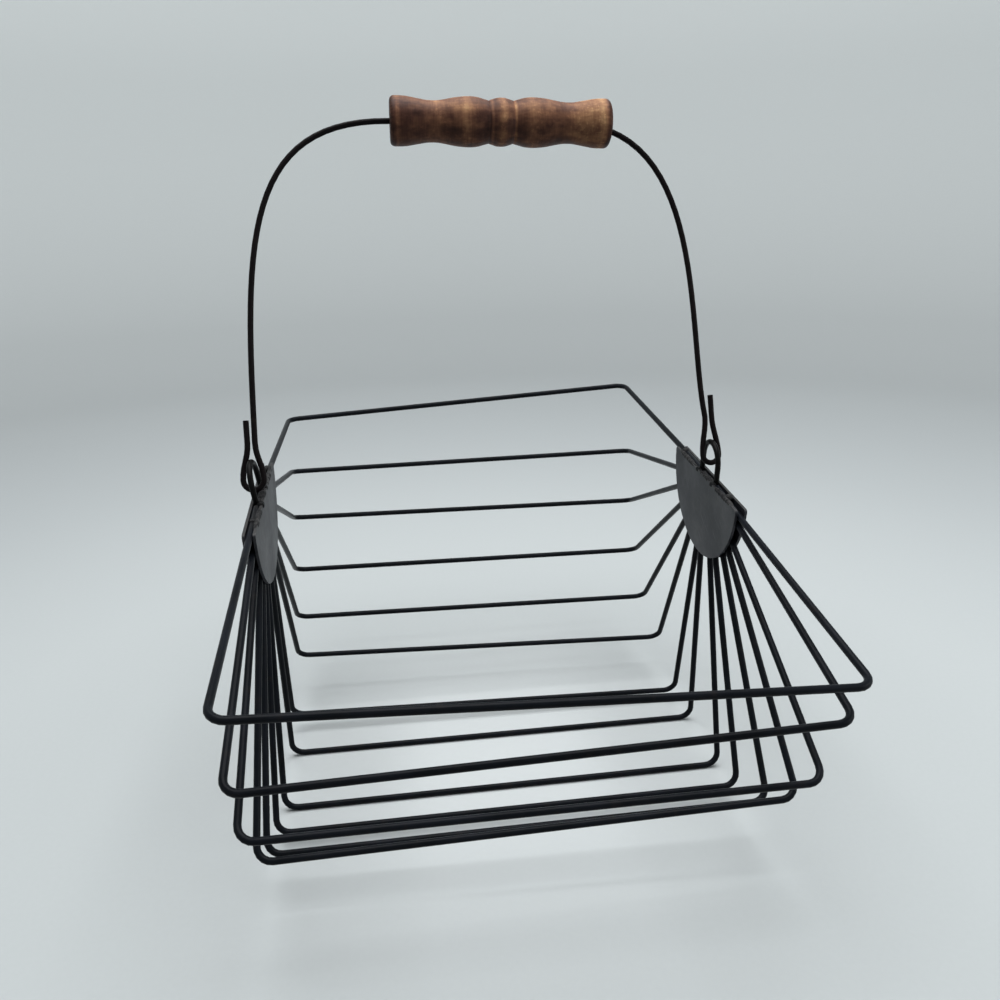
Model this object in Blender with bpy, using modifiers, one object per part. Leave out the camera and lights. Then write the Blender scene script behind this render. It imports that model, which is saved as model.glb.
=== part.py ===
"""A wire egg basket: fifteen bent wire ribs fan out between two pairs of half-round end plates,
and a wire bail with a turned wooden grip swings in an ear loop at each end.

Run with: blender --background --python part.py. Units are metres, +Z is up, +Y is the back, and the basket
stands on its two lowest ribs. The middle line below runs along X, and the ribs' cross wires are spaced
round it. It is drawn with the plates' straight edges level, and the whole then rolls a little to stand.
"""

import math
from collections import namedtuple

import bmesh
import bpy
from mathutils import Matrix, Vector

MM = 0.001

# Ribs
SPAN = 220 * MM  # between the middles of the wire at a rib's two corners
RIB_REACH = 154 * MM  # middle line to the middle of a rib's cross wire
RIB_WIRE = 3.0 * MM  # diameter
RIB_BEND = 6.5 * MM  # radius at the middle of the wire
LEG_GAP = 0.2 * MM  # least space between two legs of an end, where their hidden ends stop
RIM_GAP = 0.35 * MM  # between the end of a rim's leg and the ear's leg that it runs up to
KNEE_OUT = 3 * MM  # a leg runs straight to this far outside its plates' edge, then splays to its corner
LEG_AIM = -1 * MM  # point that an end's legs run to, above its plates' straight edge
BACK_RIM = 177.0  # degrees from the front, down and round to the back
FRONT_RIM = 3.0
# Hand bending leaves each rib's left and right corner this many degrees off its even place
LEFT_LEANS = (-2, -2, -0.5, -0.5, 0.5, 3.5, 1, 3, -2, 1, 1.5, 1.5, -2, -2.5, -2.5)
RIGHT_LEANS = (2, -2, -2, -2, -1.5, 0, -2.5, 1.5, -3, -1, -3, -1.5, 1, -3.5, 2.5)
# and lengthens the rib there by this many times the unit
SPLAY_UNIT = 1 * MM
LEFT_SPLAYS = (-2, -1, 0, 0.5, 0, -0.5, 2, 0.5, 0.5, 1.5, 1.5, 0.5, 0.5, -0.5, -1)
RIGHT_SPLAYS = (-2, 1, 0, -0.5, -0.5, 2.5, 1, 3, 1.5, 0.5, -1, 0.5, 1.5, -1.5, 1)

# Stance
FOOT_RIBS = (8, 9)  # the two that the basket stands on, counted from the back rim
FOOT_SET = 1.7 * MM  # they are this much less deep than the other ribs
FOOT_DROP = RIB_REACH - FOOT_SET  # middle of their cross wires below the middle line
STAND_ROLL = 6.7  # degrees that the basket rolls towards its front to stand on them
STAND_BACK = -0.6 * MM  # moves the middle line so that the whole is centred from front to back
STAND_RIGHT = 0.86 * MM  # and moves everything so that it is centred from side to side

# End plates
PLATE_RADIUS = 41 * MM
PLATE_THICK = 1.2 * MM
LEFT_INSET = 1.2 * MM  # middle of the left pair inside the middle of the ribs' corners
RIGHT_INSET = 1.0 * MM
END_BACK = 2.5 * MM  # plates, ears and pivot sit this far behind the middle line
LEFT_TOP = 2.8 * MM  # straight edges above the middle line: the left pair was fixed higher
RIGHT_TOP = -2.5 * MM
PLATE_CORNER = 1.5 * MM  # radius of the two corners
SEAT_GAP = 0.15 * MM  # between a rib's wire and each plate it lies on

# Ear loops
EAR_WIRE = 2.7 * MM
EAR_WIDTH = 19 * MM  # between the middles of the loop's legs
LEFT_EAR_RISE = 16.1 * MM  # top of the loop above its plates' straight edges
RIGHT_EAR_RISE = 17.3 * MM
EAR_SUNK = 12 * MM  # ends of its legs below them
EAR_STRAIGHT = 0.3 * MM  # from them up to where the loop leans outwards
LEFT_EAR_LEAN = 1.9 * MM  # by this at its top
RIGHT_EAR_LEAN = 0.1 * MM

# Bail
BAIL_WIRE = 2.7 * MM
LEFT_HOOK_OUT = 1.6 * MM  # middle of the hook outside the middle of its pair of plates
RIGHT_HOOK_OUT = 0.3 * MM
PIVOT_RISE = 5.2 * MM  # bail's pivot above the middle line
LEFT_HOOK_DROP = -0.4 * MM  # bottom of the hook below the pivot, to the middle of its wire
RIGHT_HOOK_DROP = 0.8 * MM
LEFT_HOOK_PLAY = 1.95 * MM  # between the ear's wire and each side of the hook
RIGHT_HOOK_PLAY = 1.35 * MM
NECK_GAP = 0.7 * MM  # between the hook's two sides where it closes
NECK_WIDTH = BAIL_WIRE + NECK_GAP
NECK_RISE = 22 * MM  # neck above the pivot
TAIL_LENGTH = 10.5 * MM  # straight tail above the neck
BAIL_HEIGHT = 168.4 * MM  # middle of the top above the pivot
TOP_SLOPE = 1.5  # degrees that the top falls to the right
LEFT_SHOULDER_INSET = 6.2 * MM  # the curve is drawn outwards to this far inside the hook's middle
RIGHT_SHOULDER_INSET = -9.8 * MM
LEFT_SHOULDER_UP = 93 * MM  # and upwards from the neck by this
RIGHT_SHOULDER_UP = 43.3 * MM
LEFT_SHOULDER_IN = 1.4 * MM  # how far the arm leans in over that height
RIGHT_SHOULDER_IN = 6.4 * MM
BAIL_LEAN = 18.0  # degrees back from upright as the basket stands

# Grip
GRIP_LENGTH = 105.5 * MM
GRIP_SHIFT = 15.9 * MM  # grip's middle to the right of the bail's middle
GRIP_BELLY = 22.4 * MM
GRIP_FLARE = 22.2 * MM
GRIP_NECK = 18.4 * MM
GRIP_BEAD = 21.6 * MM
GRIP_GROOVE = 18.8 * MM
GRIP_EDGE = 2.2 * MM  # rounding of the end faces' rims
BORE_GAP = 0.55 * MM  # between the bail's wire and the bore all round
GRIP_BORE = BAIL_WIRE + 2 * BORE_GAP
MOUTH_FLARE = 2.7 * MM  # the bore widens by this all round at each end
MOUTH_DEPTH = 15 * MM
BEND_LEAD = 4.65 * MM  # the bail's wire starts to bend this far before the bore's right mouth
LEFT_STRAIGHT = GRIP_LENGTH / 2 - GRIP_SHIFT  # ends of the straight run along the bail's top, from its middle
RIGHT_STRAIGHT = GRIP_LENGTH / 2 + GRIP_SHIFT - MOUTH_DEPTH - BEND_LEAD

# The two ends. x is the middle of the pair of plates, and hook_x and hook_width are to the wire's middle.
# shoulder holds the end of the bail's straight run, then the inset, height and lean of the curve to it
End = namedtuple("End", "name side x top ear_rise ear_lean hook_x hook_width hook_drop shoulder")
LEFT_X = LEFT_INSET - SPAN / 2
RIGHT_X = SPAN / 2 - RIGHT_INSET
HOOK_WIRES = EAR_WIRE + BAIL_WIRE
LEFT = End(
    "left", -1, LEFT_X, LEFT_TOP, LEFT_EAR_RISE, LEFT_EAR_LEAN,
    LEFT_X - LEFT_HOOK_OUT, HOOK_WIRES + 2 * LEFT_HOOK_PLAY, LEFT_HOOK_DROP,
    (LEFT_STRAIGHT, LEFT_SHOULDER_INSET, LEFT_SHOULDER_UP, LEFT_SHOULDER_IN),
)
RIGHT = End(
    "right", 1, RIGHT_X, RIGHT_TOP, RIGHT_EAR_RISE, RIGHT_EAR_LEAN,
    RIGHT_X + RIGHT_HOOK_OUT, HOOK_WIRES + 2 * RIGHT_HOOK_PLAY, RIGHT_HOOK_DROP,
    (RIGHT_STRAIGHT, RIGHT_SHOULDER_INSET, RIGHT_SHOULDER_UP, RIGHT_SHOULDER_IN),
)

# Mesh fineness
WIRE_SIDES = 12
BEND_STEPS = 5
CURVE_STEPS = 14
PLATE_STEPS = 28
GRIP_STEPS = 28


def clear_scene():
    for thing in list(bpy.data.objects):
        bpy.data.objects.remove(thing, do_unlink=True)


def material(name, colour, roughness, metallic):
    made = bpy.data.materials.new(name)
    made.use_nodes = True
    shader = made.node_tree.nodes["Principled BSDF"]
    shader.inputs["Base Color"].default_value = (*colour, 1.0)
    shader.inputs["Roughness"].default_value = roughness
    shader.inputs["Metallic"].default_value = metallic
    return made


def place(name, data, look, parent):
    """A named object in the basket's collection, carried by an empty."""
    thing = bpy.data.objects.new(name, data)
    basket.objects.link(thing)
    data.materials.append(look)
    thing.parent = parent
    return thing


def empty(name, parent=None):
    thing = bpy.data.objects.new(name, None)
    basket.objects.link(thing)
    thing.parent = parent
    return thing


def rounded(points, radius):
    """The points with each inner corner turned into an arc of this radius."""
    made = [points[0]]
    for before, corner, after in zip(points, points[1:], points[2:]):
        back = (before - corner).normalized()
        ahead = (after - corner).normalized()
        half = back.angle(ahead) / 2
        middle = corner + (back + ahead).normalized() * (radius / math.sin(half))
        start = (corner + back * (radius / math.tan(half)) - middle).normalized()
        end = (corner + ahead * (radius / math.tan(half)) - middle).normalized()
        for step in range(BEND_STEPS + 1):
            made.append(middle + start.slerp(end, step / BEND_STEPS) * radius)
    return made + [points[-1]]


def arc(middle, radius, start, end, steps):
    """Points in the XZ plane, angles in degrees from +X towards +Z."""
    made = []
    for step in range(steps + 1):
        angle = math.radians(start + (end - start) * step / steps)
        made.append(middle + Vector((math.cos(angle), 0, math.sin(angle))) * radius)
    return made


def swept(start, start_pull, end_pull, end, steps):
    """A cubic curve from start to end, pulled at each end, without its first point."""
    made = []
    for step in range(1, steps + 1):
        t = step / steps
        near, far = start + start_pull, end + end_pull
        made.append(
            start * (1 - t) ** 3 + near * 3 * t * (1 - t) ** 2 + far * 3 * t * t * (1 - t) + end * t**3
        )
    return made


def wire(name, points, diameter, look, parent, turned=0.0):
    """A wire along the points. turned rolls its flats about its own line, in radians."""
    curve = bpy.data.curves.new(name, "CURVE")
    curve.dimensions = "3D"
    curve.bevel_depth = diameter / 2
    curve.bevel_resolution = (WIRE_SIDES - 4) // 2
    curve.use_fill_caps = True
    spline = curve.splines.new("POLY")
    spline.points.add(len(points) - 1)
    for point, made in zip(points, spline.points):
        made.co = (*point, 1)
        made.tilt = turned
    return place(name, curve, look, parent)


def rib_angles(number):
    """Degrees from the front, down and round to the back, at the left and right end of a rib."""
    pitch = (BACK_RIM - FRONT_RIM) / (len(LEFT_LEANS) - 1)
    even = BACK_RIM - pitch * (number - 1)
    return even + LEFT_LEANS[number - 1], even + RIGHT_LEANS[number - 1]


def rib_corner(number, side):
    """A rib's sharp corner at the middle of its wire. A foot rib's is level with the other foot corners."""
    angle = math.radians(rib_angles(number)[side > 0])
    splay = (LEFT_SPLAYS, RIGHT_SPLAYS)[side > 0][number - 1] * SPLAY_UNIT
    reach = RIB_REACH
    if number in FOOT_RIBS:
        reach = FOOT_DROP / math.sin(angle + math.radians(STAND_ROLL))
    return Vector((side * (SPAN / 2 + splay), -reach * math.cos(angle), -reach * math.sin(angle)))


def leg_aim(end):
    """The point that an end's legs run to, between its plates."""
    return Vector((end.x, END_BACK, end.top + LEG_AIM))


def leg_line(number, end):
    """The direction of a leg between its plates, away from where it aims."""
    along = rib_corner(number, end.side) - leg_aim(end)
    return Vector((0, along.y, along.z)).normalized()


def leg_start(number, end):
    """How far from where it aims a leg stops: short of its neighbours, or for a rim short of the ear."""
    if number in (1, len(LEFT_LEANS)):
        return (EAR_WIDTH + EAR_WIRE) / 2 + RIM_GAP
    lines = [leg_line(other, end) for other in range(1, len(LEFT_LEANS) + 1)]
    closest = min(line.angle(other) for line, other in zip(lines, lines[1:]))
    return (RIB_WIRE + LEG_GAP) / (2 * math.sin(closest / 2))


def rib_leg(number, end):
    """The two points of a leg that lie between its plates and just outside them."""
    aim = leg_aim(end)
    along = leg_line(number, end)
    return [aim + along * leg_start(number, end), aim + along * (PLATE_RADIUS + KNEE_OUT)]


def make_rib(number, name, look, parent):
    """A rib is a U. Its object turns about the middle line, so that its own XY plane is near the U's."""
    left = rib_leg(number, LEFT)
    right = rib_leg(number, RIGHT)
    bends = [left[1], rib_corner(number, -1), rib_corner(number, 1), right[1]]
    points = [left[0]] + rounded(bends, RIB_BEND) + [right[0]]
    middle = sum(rib_angles(number)) / 2
    turn = Matrix.Rotation(math.radians(middle + 180), 3, "X")
    # One flat of the wire faces the floor as the basket stands
    turned = math.radians(180 / WIRE_SIDES - (middle + STAND_ROLL - 90))
    rib = wire(name, [point @ turn for point in points], RIB_WIRE, look, parent, turned)
    rib.rotation_euler.x = math.radians(middle + 180)


def hub_height():
    """Middle line above the floor."""
    return FOOT_DROP + RIB_WIRE / 2 * math.cos(math.pi / WIRE_SIDES)


def make_plate(name, inward, end, look, parent):
    """A half disc with its straight edge up, on the inner or outer face of a fan of legs."""
    out = max(RIB_WIRE, EAR_WIRE) / 2 + SEAT_GAP + PLATE_THICK / 2
    flat_x = end.x + end.side * (-out if inward else out)
    corner = math.degrees(math.asin(PLATE_CORNER / (PLATE_RADIUS - PLATE_CORNER)))
    reach = (PLATE_RADIUS - PLATE_CORNER) * math.cos(math.radians(corner))
    outline = arc(Vector((0, 0, 0)), PLATE_RADIUS, 180 + corner, 360 - corner, PLATE_STEPS)
    right = arc(Vector((reach, 0, -PLATE_CORNER)), PLATE_CORNER, -corner, 90, BEND_STEPS)
    left = arc(Vector((-reach, 0, -PLATE_CORNER)), PLATE_CORNER, 90, 180 + corner, BEND_STEPS)
    curve = bpy.data.curves.new(name, "CURVE")
    curve.dimensions = "2D"
    curve.fill_mode = "BOTH"
    curve.extrude = PLATE_THICK / 2
    spline = curve.splines.new("POLY")
    points = outline + right[1:] + left[:-1]
    spline.points.add(len(points) - 1)
    for point, made in zip(points, spline.points):
        made.co = (point.x, point.z, 0, 1)
    spline.use_cyclic_u = True
    plate = place(name, curve, look, parent)
    plate.location = (flat_x, END_BACK, end.top)
    plate.rotation_euler = (math.pi / 2, 0, math.pi / 2)


def make_ear(name, end, look, parent):
    """An upside-down U that stands up from between the two plates of an end."""
    half = EAR_WIDTH / 2
    points = [Vector((-half, 0, -EAR_SUNK)), Vector((-half, 0, EAR_STRAIGHT))]
    points += arc(Vector((0, 0, end.ear_rise - half)), half, 180, 0, CURVE_STEPS)
    points += [Vector((half, 0, EAR_STRAIGHT)), Vector((half, 0, -EAR_SUNK))]
    for point in points:
        share = max(0, point.z - EAR_STRAIGHT) / (end.ear_rise - EAR_STRAIGHT)
        point.y = -end.side * end.ear_lean * share
    ear = wire(name, points, EAR_WIRE, look, parent)
    ear.location = (end.x, END_BACK, end.top)
    ear.rotation_euler.z = math.pi / 2


def bail_side(end):
    """Half of the bail, drawn as its right half, from its tail's tip to its top. The pivot is the origin."""
    ear = abs(end.hook_x)
    slope = end.side * math.tan(math.radians(TOP_SLOPE))
    half = end.hook_width / 2
    round_middle = Vector((ear, 0, half - end.hook_drop))
    neck_out = Vector((ear + NECK_WIDTH / 2, 0, NECK_RISE))
    neck_in = Vector((ear - NECK_WIDTH / 2, 0, NECK_RISE))
    pull = Vector((0, 0, (NECK_RISE - round_middle.z) / 2.6))
    straight, inset, arm_up, arm_in = end.shoulder
    shoulder = Vector((straight, 0, BAIL_HEIGHT - straight * slope))
    points = [Vector((neck_out.x, 0, NECK_RISE + TAIL_LENGTH)), neck_out]
    points += swept(neck_out, -pull, pull, Vector((ear + half, 0, round_middle.z)), CURVE_STEPS // 2)
    points += arc(round_middle, half, 0, -180, CURVE_STEPS)[1:]
    points += swept(Vector((ear - half, 0, round_middle.z)), pull, -pull, neck_in, CURVE_STEPS // 2)
    arm_pull = Vector((-arm_in, 0, arm_up))
    reach = ear - inset - shoulder.x
    top_pull = Vector((reach, 0, -reach * slope))
    points += swept(neck_in, arm_pull, top_pull, shoulder, 2 * CURVE_STEPS)
    return points


def make_bail(look, parent):
    right = bail_side(RIGHT)
    left = [Vector((-point.x, 0, point.z)) for point in reversed(bail_side(LEFT))]
    wire("bail", right + left, BAIL_WIRE, look, parent)


def grip_profile():
    """Distance along the grip and radius, down the outside from its right end to its left."""
    half = GRIP_LENGTH / 2
    # Share of the half length, then a low and a high diameter and the share of the step between them
    turned = (
        (0.905, GRIP_NECK, GRIP_FLARE, 1),
        (0.85, GRIP_NECK, GRIP_FLARE, 0.9),
        (0.80, GRIP_NECK, GRIP_FLARE, 0.66),
        (0.73, GRIP_NECK, GRIP_FLARE, 0.32),
        (0.67, GRIP_NECK, GRIP_FLARE, 0.05),
        (0.62, GRIP_NECK, GRIP_BELLY, 0),
        (0.57, GRIP_NECK, GRIP_BELLY, 0.05),
        (0.50, GRIP_NECK, GRIP_BELLY, 0.325),
        (0.43, GRIP_NECK, GRIP_BELLY, 0.675),
        (0.36, GRIP_NECK, GRIP_BELLY, 0.9),
        (0.30, GRIP_NECK, GRIP_BELLY, 1),
        (0.25, GRIP_GROOVE, GRIP_BELLY, 0.945),
        (0.205, GRIP_GROOVE, GRIP_BELLY, 0.75),
        (0.155, GRIP_GROOVE, GRIP_BELLY, 0.36),
        (0.125, GRIP_GROOVE, GRIP_BELLY, 0.14),
        (0.113, GRIP_GROOVE, GRIP_BEAD, 0),
        (0.100, GRIP_GROOVE, GRIP_BEAD, 0.21),
        (0.070, GRIP_GROOVE, GRIP_BEAD, 0.57),
        (0.035, GRIP_GROOVE, GRIP_BEAD, 0.91),
        (0.0, GRIP_GROOVE, GRIP_BEAD, 1),
    )
    rim = []
    for degrees in (90, 60, 30, 0):
        angle = math.radians(degrees)
        along = half - GRIP_EDGE * (1 - math.sin(angle))
        rim.append((along, GRIP_FLARE / 2 - GRIP_EDGE * (1 - math.cos(angle))))
    right = rim + [(half * out, (low + (high - low) * share) / 2) for out, low, high, share in turned]
    return right + [(-along, radius) for along, radius in reversed(right[:-1])]


def bore_profile():
    """The bore from the grip's left end back to its right."""
    half = GRIP_LENGTH / 2
    right = [(half - MOUTH_DEPTH, GRIP_BORE / 2), (half, GRIP_BORE / 2 + MOUTH_FLARE)]
    return [(-along, radius) for along, radius in reversed(right)] + right


def make_grip(look, parent):
    """A turned grip with a bore that flares at both ends, where the bail starts to bend."""
    mesh = bpy.data.meshes.new("grip")
    shape = bmesh.new()
    corners = [shape.verts.new((radius, 0, along)) for along, radius in grip_profile() + bore_profile()]
    for first, second in zip(corners, corners[1:] + corners[:1]):
        shape.edges.new((first, second))
    shape.to_mesh(mesh)
    shape.free()
    grip = place("grip", mesh, look, parent)
    turn = grip.modifiers.new("Turned", "SCREW")
    turn.steps = GRIP_STEPS
    turn.render_steps = GRIP_STEPS
    turn.use_merge_vertices = True
    turn.merge_threshold = 0.00001
    grip.rotation_euler.y = math.pi / 2


clear_scene()
basket = bpy.data.collections.new("egg_basket")
bpy.context.scene.collection.children.link(basket)

black_wire = material("satin_black_painted_wire", (0.018, 0.019, 0.020), 0.42, 0.0)
black_sheet = material("black_painted_sheet_steel", (0.045, 0.048, 0.055), 0.5, 0.0)
stained_wood = material("stained_turned_wood", (0.17, 0.085, 0.042), 0.5, 0.0)

stand = empty("stand")
stand.location = (STAND_RIGHT, STAND_BACK, hub_height())
stand.rotation_euler.x = math.radians(STAND_ROLL)

last = len(LEFT_LEANS)
for number in range(1, last + 1):
    suffix = {1: "_back_rim", last: "_front_rim"}.get(number, "")
    make_rib(number, f"rib_{number:02d}{suffix}", black_wire, stand)

for end in (LEFT, RIGHT):
    make_plate(f"plate_{end.name}_inner", True, end, black_sheet, stand)
    make_plate(f"plate_{end.name}_outer", False, end, black_sheet, stand)
    make_ear(f"ear_{end.name}", end, black_wire, stand)

pivot = empty("bail_pivot", stand)
pivot.location = (0, END_BACK, PIVOT_RISE)
pivot.rotation_euler.x = -math.radians(BAIL_LEAN + STAND_ROLL)
make_bail(black_wire, pivot)

grip_axis = empty("grip_axis", pivot)
grip_axis.location = (GRIP_SHIFT, 0, BAIL_HEIGHT - GRIP_SHIFT * math.tan(math.radians(TOP_SLOPE)))
grip_axis.rotation_euler.y = math.radians(TOP_SLOPE)
make_grip(stained_wood, grip_axis)

bpy.context.view_layer.update()
print("middle line above the floor mm", round(hub_height() / MM, 3))
print("bail pivot mm", [round(x / MM, 3) for x in pivot.matrix_world.translation])
print("grip axis mm", [round(x / MM, 3) for x in grip_axis.matrix_world.translation])
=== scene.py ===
# %% [markdown]
# # A wire egg basket
#
# Fifteen bent wire ribs fan out between two pairs of half-round plates, and a wire bail with a
# turned wooden grip swings in an ear at each end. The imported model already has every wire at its
# true size, so this lesson gives it light, paint, weld metal and wood. Everything is in metres, +Z
# is up and +Y is the back.

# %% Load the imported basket
import math

import bmesh
import bpy
from mathutils import Matrix, Vector, noise


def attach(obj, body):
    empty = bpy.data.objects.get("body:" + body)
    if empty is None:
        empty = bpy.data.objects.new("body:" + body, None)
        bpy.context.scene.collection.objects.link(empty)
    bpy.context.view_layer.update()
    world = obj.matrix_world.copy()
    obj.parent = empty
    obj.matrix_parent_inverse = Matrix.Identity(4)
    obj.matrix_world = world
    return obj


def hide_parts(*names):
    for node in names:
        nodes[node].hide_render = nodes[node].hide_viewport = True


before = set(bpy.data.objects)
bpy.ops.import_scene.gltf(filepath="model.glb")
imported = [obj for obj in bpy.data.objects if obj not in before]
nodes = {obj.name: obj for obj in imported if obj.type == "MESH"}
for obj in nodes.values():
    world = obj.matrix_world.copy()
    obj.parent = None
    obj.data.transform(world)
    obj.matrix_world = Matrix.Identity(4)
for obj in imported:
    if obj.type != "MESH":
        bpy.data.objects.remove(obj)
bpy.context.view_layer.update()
MM = 0.001
print("pieces in the packed basket:", len(nodes))

# %% [markdown]
# ## Camera
#
# The camera stands low in front of the basket and a little to its left, and looks down by about 18
# degrees. Its place was worked out from the corners of the ribs, so every wire lands where a real
# one would. A camera turned by three axes that we know is easiest to set as one matrix.

# %% Camera
CAMERA_PLACE = Vector((-48.24, -390.7, 277.95)) * MM
CAMERA_RIGHT = Vector((0.9896, -0.1418, -0.0253))
CAMERA_AHEAD = Vector((0.1267, 0.9405, -0.3153))

ahead = CAMERA_AHEAD.normalized()
right = (CAMERA_RIGHT - ahead * CAMERA_RIGHT.dot(ahead)).normalized()
up = right.cross(ahead)
turn = Matrix((right, up, -ahead)).transposed().to_4x4()

lens = bpy.data.cameras.new("camera")
lens.lens = 31.09
lens.sensor_width = 36
lens.clip_start = 0.01
lens.clip_end = 30
camera = bpy.data.objects.new("camera", lens)
bpy.context.scene.collection.objects.link(camera)
camera.matrix_world = Matrix.Translation(CAMERA_PLACE) @ turn
bpy.context.scene.camera = camera
bpy.context.scene.view_settings.view_transform = "Standard"
print("the camera looks down by", round(math.degrees(math.asin(-ahead.z)), 1), "degrees")

# %% [markdown]
# ## Colours and nodes
#
# Colours are written as sRGB hex values, the way a paint shop or a screen gives them. Blender's
# shaders work in linear light, so one function turns them. A second adds a node with its settings
# and its links. Some nodes have several inputs of one name, so an input can also be given by its
# number: in0 is the first. On a colour Mix node, in6 and in7 are its two colours. A colour ramp's
# stops are its settings too, so the same function sets them.


# %% Helpers for colours and nodes
def linear(code):
    """An sRGB hex value as the linear colour that a shader takes."""
    made = []
    for start in (0, 2, 4):
        value = int(code[start:start + 2], 16) / 255
        made.append(value / 12.92 if value <= 0.04045 else ((value + 0.055) / 1.055) ** 2.4)
    return (*made, 1.0)


def grey(value):
    """A grey, which can also carry a number through a ramp, such as a share of wear."""
    return (value, value, value, 1.0)


def add(tree, kind, settings=None, stops=(), **links):
    """Adds a node. A link is named for its input, and is a number, a colour or another socket.

    Each stop of a colour ramp is a place from 0 to 1 and a colour.
    """
    node = tree.nodes.new("ShaderNode" + kind)
    for name, value in (settings or {}).items():
        setattr(node, name, value)
    while stops and len(node.color_ramp.elements) < len(stops):
        node.color_ramp.elements.new(0.5)
    for number, (place, colour) in enumerate(stops):
        node.color_ramp.elements[number].position = place
        node.color_ramp.elements[number].color = colour
    for name, value in links.items():
        numbered = name.startswith("in") and name[2:].isdigit()
        socket = node.inputs[int(name[2:]) if numbered else name.replace("_", " ")]
        if isinstance(value, bpy.types.NodeSocket):
            tree.links.new(value, socket)
        else:
            socket.default_value = value
    return node


PLUS = {"operation": "ADD"}
MINUS = {"operation": "SUBTRACT"}
TIMES = {"operation": "MULTIPLY"}
TIMES_PLUS = {"operation": "MULTIPLY_ADD"}
WITHOUT_SIGN = {"operation": "ABSOLUTE"}
DISTANCE_ALONG = {"operation": "DOT_PRODUCT"}
LENGTH = {"operation": "LENGTH"}
BLEND = {"data_type": "RGBA"}
DARKEN = {"data_type": "RGBA", "blend_type": "MULTIPLY"}
STRETCH_PATTERN = {"vector_type": "TEXTURE"}
print("the sRGB grey 808080 is", round(linear("808080")[0], 3), "in linear light")

# %% [markdown]
# Every material here starts in the same way, with the object's own coordinates, and ends in the
# same way. What varies over a surface is linked to the shader, and what is the same all over it is
# set on the shader's own socket. A pattern's scale comes from its real size, in millimetres.


# %% Helpers for materials
def per_mm(size_mm):
    """A pattern's scale from its real size: how many repeats there are in a metre."""
    return 1.0 / (size_mm * MM)


def new_material(name):
    """A new material with its tree, its shader and the object's own coordinates."""
    made = bpy.data.materials.new(name)
    made.use_nodes = True
    tree = made.node_tree
    shader = tree.nodes["Principled BSDF"]
    place = add(tree, "TexCoord").outputs["Object"]
    return made, tree, shader, place


def finish_material(tree, shader, colour, roughness, normal, ior, shine):
    tree.links.new(colour, shader.inputs["Base Color"])
    tree.links.new(roughness, shader.inputs["Roughness"])
    tree.links.new(normal, shader.inputs["Normal"])
    shader.inputs["IOR"].default_value = ior
    shader.inputs["Specular IOR Level"].default_value = shine


print("a pattern of 1 mm has the scale", per_mm(1))

# %% [markdown]
# ## Where the plates' top edges are
#
# The basket stands rolled a little towards its front, on its two lowest ribs, so "along the
# plates" and "up from them" aren't quite Y and Z. Two directions and one point give them back. The
# wear on the paint depends on how far a point is above the plates' straight edges, and the weld
# metal is laid by them too. The left pair of plates was fixed a little higher than the right one.
# In what follows, -1 is the left end and 1 is the right end.

# %% The rolled basket's own directions
ROLL = math.radians(6.7)
BASKET_PLACE = Vector((0.86, -0.6, 153.749)) * MM
BASKET = Matrix.Translation(BASKET_PLACE) @ Matrix.Rotation(ROLL, 4, "X")
PLATES_BACK = 2.5 * MM
PLATES_TOP = {-1: 2.8 * MM, 1: -2.5 * MM}
SLOT_X = {-1: -108.8 * MM, 1: 109.0 * MM}
basket_up = BASKET.to_3x3() @ Vector((0, 0, 1))
basket_back = BASKET.to_3x3() @ Vector((0, 1, 0))


def above_edges(tree, place):
    """How far a point is above its end's plates, in metres, for use in a material."""
    x = add(tree, "SeparateXYZ", Vector=place).outputs["X"]
    side = add(tree, "Math", {"operation": "SIGN"}, in0=x).outputs[0]
    height = add(tree, "VectorMath", DISTANCE_ALONG, in0=place, in1=basket_up).outputs["Value"]
    middle = (PLATES_TOP[-1] + PLATES_TOP[1]) / 2 + BASKET.translation.dot(basket_up)
    level = add(tree, "Math", MINUS, in0=height, in1=middle).outputs[0]
    half_step = (PLATES_TOP[-1] - PLATES_TOP[1]) / 2
    return add(tree, "Math", TIMES_PLUS, in0=side, in1=half_step, in2=level).outputs[0]


print("the plates' edges are rolled by", round(math.degrees(ROLL), 1), "degrees")

# %% [markdown]
# ## Paint rubbed off in the slots, with a painted highlight
#
# The two rims' legs lie in the slots between the plates, and whatever is put down on the basket
# rubs them there. So their tops are worn to a dull grey, in chips a few millimetres long. The grey
# is also a painted highlight on the crowns, which face up to the light. The mark is found from
# where a point is: on the crown of the wire, within the plates' length, and on the side of the slot
# that faces the inside of the basket. That needs no painted mask.

# %% Wear and a painted highlight on the tops of the wires in the slots
# The dull grey is partly worn paint and partly a painted highlight on the wires' crowns
WORN_AND_LIT_WIRE = "31302f"
SLOT_MARK_STARTS_X = 109.0 * MM
SLOT_MARK_FULL_X = 108.5 * MM
SLOT_MARK_STARTS_ALONG = 39 * MM
SLOT_MARK_FULL_ALONG = 36 * MM
CROWN_STARTS = -0.5 * MM
CROWN_FULL = 0.3 * MM


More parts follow.
